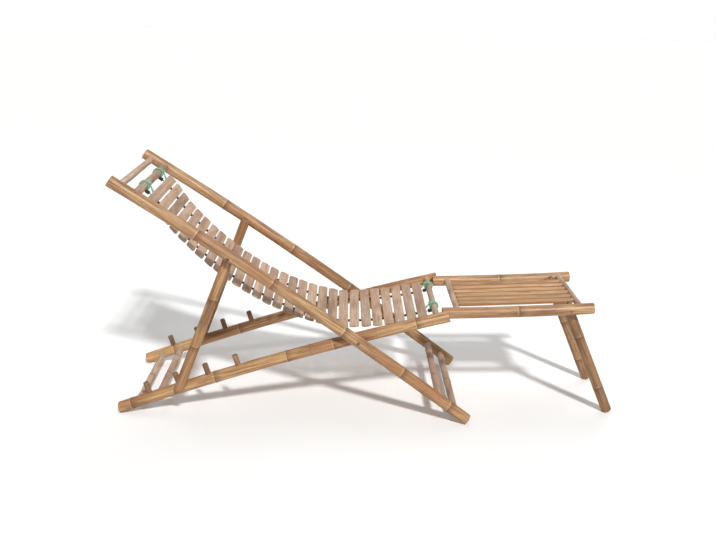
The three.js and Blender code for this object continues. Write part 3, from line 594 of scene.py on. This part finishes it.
def cushioned_strip(name, half_length, half_width, thickness, crown, matrix, material, outline, split=False):
    """A flat strip along +X with a crowned top, eased edges and the given plan outline.

    outline gives the half width, as a share, at each place along the strip. A split strip shows the
    darker inside of the culm on its ends, flanks and underside; on the flanks and underside this is also
    painted shade that darkens the gaps between the strips.
    """
    draw = random.Random(name)
    across_shares = [-1, -0.985, -0.94, -0.82, -0.6, -0.3, 0, 0.3, 0.6, 0.82, 0.94, 0.985, 1]
    bend = draw.uniform(-0.6, 0.6)
    points, faces, sawn_values = [], [], []
    columns = len(across_shares)
    for along, width_share in outline:
        width = half_width * width_share
        end = abs(along) > half_length - 0.5
        for layer in (1, -1):
            for share in across_shares:
                edge = max(0.0, 1 - (1 - abs(share)) * half_width / STRIP_EASE)
                drop = STRIP_EASE * (1 - math.sqrt(max(0.0, 1 - edge * edge)))
                top = thickness / 2 - drop
                rise = crown * (1 - share * share) if layer == 1 else 0
                ripple = 0.12 * math.sin(along / 23 + share * 3 + bend * 9)
                points.append((along, share * width, layer * top + rise + ripple + bend * share))
                # Sawn ends are real end grain; the dark flanks and underside are partly the culm's inside and
                # partly painted shade between the strips
                inside = end or layer == -1 or abs(share) > 0.93
                sawn_values.append(1.0 if split and inside else 0.0)
    ring = 2 * columns

    def corner(k, i):
        return k * ring + (i if i < columns else ring - 1 - (i - columns))

    for k in range(len(outline) - 1):
        for i in range(ring):
            j = (i + 1) % ring
            faces.append((corner(k, i), corner(k + 1, i), corner(k + 1, j), corner(k, j)))
    faces.append(tuple(corner(0, i) for i in range(ring)))
    faces.append(tuple(corner(len(outline) - 1, i) for i in reversed(range(ring))))
    attributes = without_joints(sawn_values, draw.random())
    return mesh_piece(name, points, faces, attributes, matrix, material)


def rope_tube(name, path, radius, material, lay):
    """Three-strand twisted rope along a path of points in millimetres."""
    points, grooves = [], []
    travelled = 0
    out = None
    for k, place in enumerate(path):
        ahead = path[min(k + 1, len(path) - 1)]
        behind = path[max(k - 1, 0)]
        heading = (ahead - behind).normalized()
        if out is None:
            out = heading.orthogonal().normalized()
        out = (out - heading * out.dot(heading)).normalized()
        across = heading.cross(out)
        if k:
            travelled += (place - path[k - 1]).length
        eased = min(1, 0.35 + min(k, len(path) - 1 - k) * 0.4)
        for i in range(ROPE_SIDES):
            turn = math.tau * i / ROPE_SIDES
            strand = abs(math.cos(1.5 * (turn - math.tau * travelled / lay)))
            size = radius * (0.78 + 0.26 * strand) * eased
            points.append(tuple(place + out * size * math.cos(turn) + across * size * math.sin(turn)))
            grooves.append(max(0.0, 1 - strand * 2.2))
    faces = ring_faces(len(path), ROPE_SIDES)
    return mesh_piece(name, points, faces, {"groove": grooves}, Matrix.Identity(4), material)


# Long poles

for side, sign in SIDES.items():
    back = placing(back_start, back_lean, y=sign * BACK_Y)
    rail = pole(
        f"back_pole_{side}",
        BACK_LENGTH,
        RAIL_RADIUS,
        back,
        culm_skin,
        RAIL_BOW,
        BACK_JOINT_SHARES[side],
        on_floor=True,
    )
    fasten(rail, f"back_rail_{side}")
    seat = placing(seat_start, -SEAT_RISE, y=sign * SEAT_Y)
    rail = pole(
        f"seat_pole_{side}",
        SEAT_LENGTH,
        RAIL_RADIUS,
        seat,
        culm_skin,
        RAIL_BOW,
        SEAT_JOINT_SHARES[side],
        on_floor=True,
    )
    fasten(rail, f"seat_rail_{side}")
    reach = prop_reach + PROP_FOOT
    splay = math.atan2(PROP_FOOT_Y - PROP_TOP_Y, reach)
    top_y = PROP_TOP_Y - PROP_TOP * math.tan(splay)
    prop = placing(prop_pivot, prop_lean, along=-PROP_TOP, y=sign * top_y, swing=sign * splay)
    length = (PROP_TOP + reach) / math.cos(splay)
    leg = pole(
        f"prop_pole_{side}",
        length,
        PROP_RADIUS,
        prop,
        shaded_culm_skin,
        0,
        PROP_JOINT_SHARES[side],
        start_cut=PROP_START_CUT,
    )
    fasten(leg, f"prop_leg_{side}")
    rest = placing(footrest_hinge, footrest_lean, along=-FOOTREST_START, y=sign * FOOTREST_Y)
    rail = pole(
        f"footrest_pole_{side}",
        FOOTREST_LENGTH,
        FOOTREST_RADIUS,
        rest,
        culm_skin,
        FOOTREST_BOW,
        FOOTREST_JOINT_SHARES[side],
    )
    fasten(rail, f"footrest_rail_{side}")
    stand = placing(leg_axle, leg_lean, along=-LEG_TOP, y=sign * LEG_Y)
    end_rise = (LEG_RADIUS - POLE_BEVEL) * math.cos(leg_lean) - FLOOR_FLAT
    floor_reach = (leg_axle[1] - end_rise) / math.sin(leg_lean)
    leg = pole(
        f"footrest_leg_pole_{side}",
        LEG_TOP + floor_reach,
        LEG_RADIUS,
        stand,
        shaded_culm_skin,
        0,
        LEG_JOINT_SHARES[side],
        on_floor=True,
        start_cut=LEG_START_CUT,
    )
    fasten(leg, f"footrest_leg_{side}")

# Bars, rungs and dowels that run across the frame

# Radius and joints of each bar
ACROSS_BARS = {
    "head_crossbar": (12, ()),
    "head_sling_bar": (14.5, ()),
    "foot_rung_upper": (13.5, LONG_BAR_JOINT_SHARES),
    "foot_rung_lower": (13.5, SHORT_BAR_JOINT_SHARES),
    "seat_rung_rear": (12.5, SHORT_BAR_JOINT_SHARES),
    "seat_rung_inner": (12.5, LONG_BAR_JOINT_SHARES),
    "front_sling_bar": (11.5, ()),
    "prop_crossbar": (13, SHORT_BAR_JOINT_SHARES),
    "footrest_crossbar_inner": (11.5, ()),
    "footrest_crossbar_outer": (11.5, ()),
}


def across_placing(node):
    """The matrix and the length of a piece whose +X runs to the sitter's left, from the node's right end."""
    low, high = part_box(node)
    x, z = middle_of(node)
    start = Vector((x * MM, low.y, z * MM))
    return Matrix.Translation(start) @ Matrix.Rotation(math.pi / 2, 4, "Z"), (high.y - low.y) / MM


for node, (radius, shares) in ACROSS_BARS.items():
    matrix, length = across_placing(node)
    bar = pole(f"{node}_pole", length, radius, matrix, bar_skin, 0, shares, hollow=BAR_HOLLOW_SHARE)
    fasten(bar, node)

# The dowels' outer ends stand a little proud of the poles.
proud_on_the_right = Matrix.Translation((0, -PIN_PROUD * MM, 0))
matrix, length = across_placing("footrest_leg_axle")
matrix = proud_on_the_right @ matrix
axle = dowel("footrest_leg_axle_dowel", length + 2 * PIN_PROUD, AXLE_RADIUS, matrix, dowel_skin)
fasten(axle, "footrest_leg_axle")
for pin in ("main_pivot_pin", "prop_pivot_pin"):
    for side in SIDES:
        node = f"{pin}_{side}"
        matrix, length = across_placing(node)
        if side == "right":
            matrix = proud_on_the_right @ matrix
        fasten(dowel(f"{node}_dowel", length + PIN_PROUD, PIN_RADIUS, matrix, dowel_skin), node)

for side in SIDES:
    for number in range(1, PEG_COUNT + 1):
        node = f"seat_peg_{side}_{number}"
        low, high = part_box(node)
        middle = (low + high) / 2
        lean = -SEAT_RISE - math.pi / 2
        x, z = turned((middle.x / MM, middle.z / MM), lean, -PEG_LENGTH / 2, 0)
        matrix = placing((x, z), lean, y=middle.y / MM)
        fasten(dowel(f"{node}_dowel", PEG_LENGTH, PEG_RADIUS, matrix, peg_skin), node)

# Footrest slats: split strips with the round side up and their ends cut in to the crossbars


def strip_outline(half_length):
    """Half widths of a strip whose ends narrow to a tongue."""
    inner = half_length - STRIP_SHOULDER
    steps = [0, 0.25, 0.5, 0.75, 1]
    narrowing = [(inner + STRIP_SHOULDER * s, 1 - (1 - STRIP_TONGUE_SHARE) * s * s) for s in steps]
    long_way = [(-inner + 2 * inner * i / 12, 1) for i in range(1, 12)]
    return [(-along, share) for along, share in reversed(narrowing)] + long_way + narrowing


strip_half = (FOOTREST_SLATS_TO - FOOTREST_SLATS_FROM) / 2
strip_middle = (FOOTREST_SLATS_TO + FOOTREST_SLATS_FROM) / 2
for number in range(1, FOOTREST_SLAT_COUNT + 1):
    node = f"footrest_slat_{number}"
    low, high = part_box(node)
    y = (low.y + high.y) / 2 / MM
    matrix = placing(footrest_hinge, footrest_lean, along=strip_middle, y=y, offset=FOOTREST_SLAT_RISE)
    strip = cushioned_strip(
        f"{node}_strip",
        strip_half,
        (high.y - low.y) / 2 / MM - FOOTREST_SLAT_TRIM,
        FOOTREST_SLAT_THICKNESS,
        FOOTREST_SLAT_CROWN,
        matrix,
        strip_skin,
        strip_outline(strip_half),
        split=True,
    )
    fasten(strip, node)

# Sling: slats, the black spacers between them, and the rope lashings

sling_nodes = [f"sling_slats_{n:02d}_{n + 1:02d}" for n in range(1, SLAT_COUNT, 2)]


def slat_places(node):
    """Centre and lean of both slats of a node, from the four corners of each slat's end face."""
    points = {tuple(round(c / MM, 2) for c in v.co) for v in frame["nodes"][node].data.vertices}
    ends = sorted((p[0], p[2]) for p in points if p[1] > SLAT_LENGTH / 2 - 0.1)
    found = []
    for corners in (ends[:4], ends[-4:]):
        rear = (Vector(corners[0]) + Vector(corners[1])) / 2
        front = (Vector(corners[2]) + Vector(corners[3])) / 2
        found.append((tuple((rear + front) / 2), lean_between((1, 0), rear, front)))
    return found


slats = [(node, centre, lean) for node in sling_nodes for centre, lean in slat_places(node)]
slat_steps = [math.dist(one[1], other[1]) for one, other in zip(slats, slats[1:])]
slat_width = sum(slat_steps) / len(slat_steps) - SLAT_GAP


def slat_outline():
    """Half widths along a slat with rounded corners."""
    straight = SLAT_LENGTH / 2 - SLAT_CORNER
    share = 2 * SLAT_CORNER / slat_width
    turns = [math.pi / 2 * i / 8 for i in range(9)]
    rounded = [(straight + SLAT_CORNER * math.sin(t), 1 - share * (1 - math.cos(t))) for t in turns]
    long_way = [(-straight + 2 * straight * i / 14, 1) for i in range(1, 14)]
    return [(-along, share) for along, share in reversed(rounded)] + long_way + rounded


for number, (node, centre, lean) in enumerate(slats, start=1):
    draw = random.Random(number)
    shift = draw.uniform(-SLAT_SHIFT, SLAT_SHIFT)
    matrix = placing(centre, lean, y=shift) @ Matrix.Rotation(math.pi / 2, 4, "Z")
    twist = math.radians(draw.uniform(-SLAT_TWIST, SLAT_TWIST))
    matrix = matrix @ Matrix.Rotation(twist, 4, "Z")
    slat = cushioned_strip(
        f"sling_slat_{number:02d}",
        SLAT_LENGTH / 2,
        slat_width / 2,
        SLAT_THICKNESS,
        SLAT_CROWN,
        matrix,
        slat_skin,
        slat_outline(),
    )
    fasten(slat, node)


def spacer(name, start, end, y, node, outer=SPACER_RADIUS):
    """A cut length of rubber tube between two points of the side view."""
    length = math.dist(start, end)
    lean = lean_between((1, 0), start, end)
    matrix = placing(start, lean, y=y)
    start = [(0, 1), (0, outer - 0.5), (0.5, outer)]
    rings = start + [(length - along, radius) for along, radius in reversed(start)]
    points = []
    for along, radius in rings:
        for i in range(ROPE_SIDES):
            turn = math.tau * i / ROPE_SIDES
            points.append((along, radius * math.sin(turn), radius * math.cos(turn)))
    piece = mesh_piece(name, points, ring_faces(len(rings), ROPE_SIDES), {}, matrix, rubber_skin)
    fasten(piece, node)


def slat_edge(index, direction):
    """A point just inside a slat's edge, towards the head at -1 and towards the front at 1."""
    _, centre, lean = slats[index]
    return turned(centre, lean, direction * (slat_width / 2 - SLAT_OVERLAP), 0)


def bar_radius(bar):
    return ACROSS_BARS[bar][0]


def beside_bar(bar, edge):
    """The point just off a bar's surface that is nearest to a slat's edge."""
    middle = Vector(middle_of(bar))
    way = Vector(edge) - middle
    return tuple(middle + way.normalized() * (bar_radius(bar) + ROPE_CLEARANCE))


# Each end's bar, the index of its slat, and the way from the slat to the bar
SLING_ENDS = {"head": ("head_sling_bar", 0, -1), "front": ("front_sling_bar", -1, 1)}

for side, y in SPACER_YS.items():
    for index in range(1, len(slats)):
        name = f"sling_spacer_{side}_{index:02d}"
        if index + 1 == FIRST_SEAT_SLAT:
            # This one moves with the back's last slat and stops just short of the seat's first.
            _, centre, lean = slats[index]
            near = turned(centre, lean, -slat_width / 2 - ROPE_CLEARANCE, 0)
            spacer(name, slat_edge(index - 1, 1), near, y, slats[index - 1][0])
        else:
            spacer(name, slat_edge(index - 1, 1), slat_edge(index, -1), y, slats[index][0])
    for end, (bar, index, direction) in SLING_ENDS.items():
        edge = slat_edge(index, direction)
        near = beside_bar(bar, edge)
        far = tuple(Vector(near).lerp(Vector(edge), BLOCK_SHARE))
        spacer(f"{end}_block_{side}", near, far, y, slats[index][0], BLOCK_RADIUS)
        spacer(f"{end}_cord_{side}", far, edge, y, slats[index][0], CORD_RADIUS)


def lashing_path(bar, edge, y, handed):
    """Turns round the bar, then a straight strand into the slat's edge."""
    middle = middle_of(bar)
    radius = bar_radius(bar) + ROPE_RADIUS + ROPE_CLEARANCE
    way = (edge[0] - middle[0], edge[1] - middle[1])
    leave = math.atan2(way[1], way[0]) - handed * math.acos(radius / math.hypot(*way))
    steps = ROPE_TURNS * ROPE_STEPS_PER_TURN
    path = []
    for k in range(steps + 1):
        angle = leave - handed * math.tau * (steps - k) / ROPE_STEPS_PER_TURN
        along = y + ROPE_PITCH * (k - steps / 2) / ROPE_STEPS_PER_TURN
        x = middle[0] + radius * math.cos(angle)
        z = middle[1] + radius * math.sin(angle)
        path.append(Vector((x, along, z)))
    target = Vector((edge[0], path[-1].y, edge[1]))
    strand = target - path[-1]
    count = LASHING_STRAND_STEPS
    path += [path[steps] + strand * (k / count) for k in range(1, count + 1)]
    return path


def knot_centre(bar, edge, y, handed):
    """The middle of a knot that sits on the upper flank of the wound rope, towards the slat."""
    x, z = middle_of(bar)
    reach = bar_radius(bar) + 2 * ROPE_RADIUS + ROPE_CLEARANCE + 1
    way = math.atan2(edge[1] - z, edge[0] - x) - handed * KNOT_TURN
    return Vector((x + reach * math.cos(way), y, z + reach * math.sin(way)))


def knot_path(centre):
    """A small overhand knot, drawn as a trefoil."""
    path = []
    for k in range(KNOT_STEPS + 1):
        t = math.tau * k / KNOT_STEPS
        x = math.sin(t) + 2 * math.sin(2 * t)
        y = math.cos(t) - 2 * math.cos(2 * t)
        path.append(centre + Vector((x, y, -math.sin(3 * t))) * KNOT_SIZE)
    return path


def arched_strand(start, edge, y):
    """A strand that arches a little from the knot to the slat's edge."""
    end = Vector((edge[0], y, edge[1]))
    path = []
    for k in range(STRAND_STEPS + 1):
        share = k / STRAND_STEPS
        path.append(start.lerp(end, share) + Vector((0, 0, STRAND_ARCH * math.sin(math.pi * share))))
    return path


for side, y in SPACER_YS.items():
    for end, (bar, index, handed) in SLING_ENDS.items():
        edge = slat_edge(index, handed)
        node = f"{end}_lashing_{side}"
        middle = y + ROPE_FROM_SPACER
        path = lashing_path(bar, edge, middle, handed)
        fasten(rope_tube(f"{end}_rope_{side}", path, ROPE_RADIUS, rope_skin, ROPE_LAY), node)
        knot_place = knot_centre(bar, edge, middle, handed)
        for piece_name, piece_path in (
            (f"{end}_knot_{side}", knot_path(knot_place)),
            (f"{end}_strand_{side}", arched_strand(knot_place, edge, middle + STRAND_SHIFT)),
        ):
            piece = rope_tube(piece_name, piece_path, KNOT_ROPE_RADIUS, rope_skin, KNOT_LAY)
            fasten(piece, node)

# Camera, at the photograph's place

heading = Vector((math.sin(YAW) * math.cos(PITCH), math.cos(YAW) * math.cos(PITCH), -math.sin(PITCH)))
level = Vector((math.cos(YAW), -math.sin(YAW), 0))
upward = level.cross(heading)
sideways = math.cos(ROLL) * level + math.sin(ROLL) * upward
standing = -math.sin(ROLL) * level + math.cos(ROLL) * upward
turn = Matrix((sideways, standing, -heading)).transposed().to_4x4()

scene = bpy.context.scene
camera = bpy.data.objects.new("camera", bpy.data.cameras.new("camera"))
scene.collection.objects.link(camera)
camera.matrix_world = Matrix.Translation(CAMERA_PLACE) @ turn
camera.data.lens = LENS
camera.data.sensor_width = SENSOR_WIDTH
camera.data.shift_y = SHIFT_Y
scene.camera = camera
scene.view_settings.view_transform = "Standard"

# Floor and light

floor_mesh = bpy.data.meshes.new("floor")
corners = [(-1, -1), (1, -1), (1, 1), (-1, 1)]
floor_mesh.from_pydata([(x * FLOOR_HALF, y * FLOOR_HALF, 0) for x, y in corners], [], [(0, 1, 2, 3)])
floor_mesh.materials.append(studio_floor())
floor = bpy.data.objects.new("floor", floor_mesh)
scene.collection.objects.link(floor)

world = bpy.data.worlds.new("studio")
world.use_nodes = True
scene.world = world
world.node_tree.nodes.clear()
seen = add(world.node_tree, "ShaderNodeLightPath").outputs["Is Camera Ray"]
strength = {"Value": seen, "To Min": WORLD_LIGHT, "To Max": WORLD_SEEN}
level_of_light = add(world.node_tree, "ShaderNodeMapRange", {}, strength).outputs[0]
air = {"Color": (1, 1, 1, 1), "Strength": level_of_light}
backdrop = add(world.node_tree, "ShaderNodeBackground", {}, air)
add(world.node_tree, "ShaderNodeOutputWorld", {}, {"Surface": backdrop.outputs[0]})


def softbox(name, place, target, size, power):
    """A square soft lamp that faces the target."""
    data = bpy.data.lights.new(name, "AREA")
    data.size = size
    data.energy = power
    lamp = bpy.data.objects.new(name, data)
    scene.collection.objects.link(lamp)
    away = Vector(place) - Vector(target)
    lamp.matrix_world = Matrix.Translation(place) @ away.to_track_quat("Z", "Y").to_matrix().to_4x4()


def sunlight(name, toward, angle, power):
    """Parallel light that travels along the given direction, as soft as its angle."""
    data = bpy.data.lights.new(name, "SUN")
    data.energy = power
    data.angle = math.radians(angle)
    lamp = bpy.data.objects.new(name, data)
    scene.collection.objects.link(lamp)
    lamp.matrix_world = (-Vector(toward)).to_track_quat("Z", "Y").to_matrix().to_4x4()


sunlight("key", (-0.32, 1.05, -1), 5, 3.0)
sunlight("top", (0.2, -0.4, -1), 35, 0.45)
softbox("back", (1.2, 2.6, 3.0), (0, 0, 0.3), 2.0, 22)
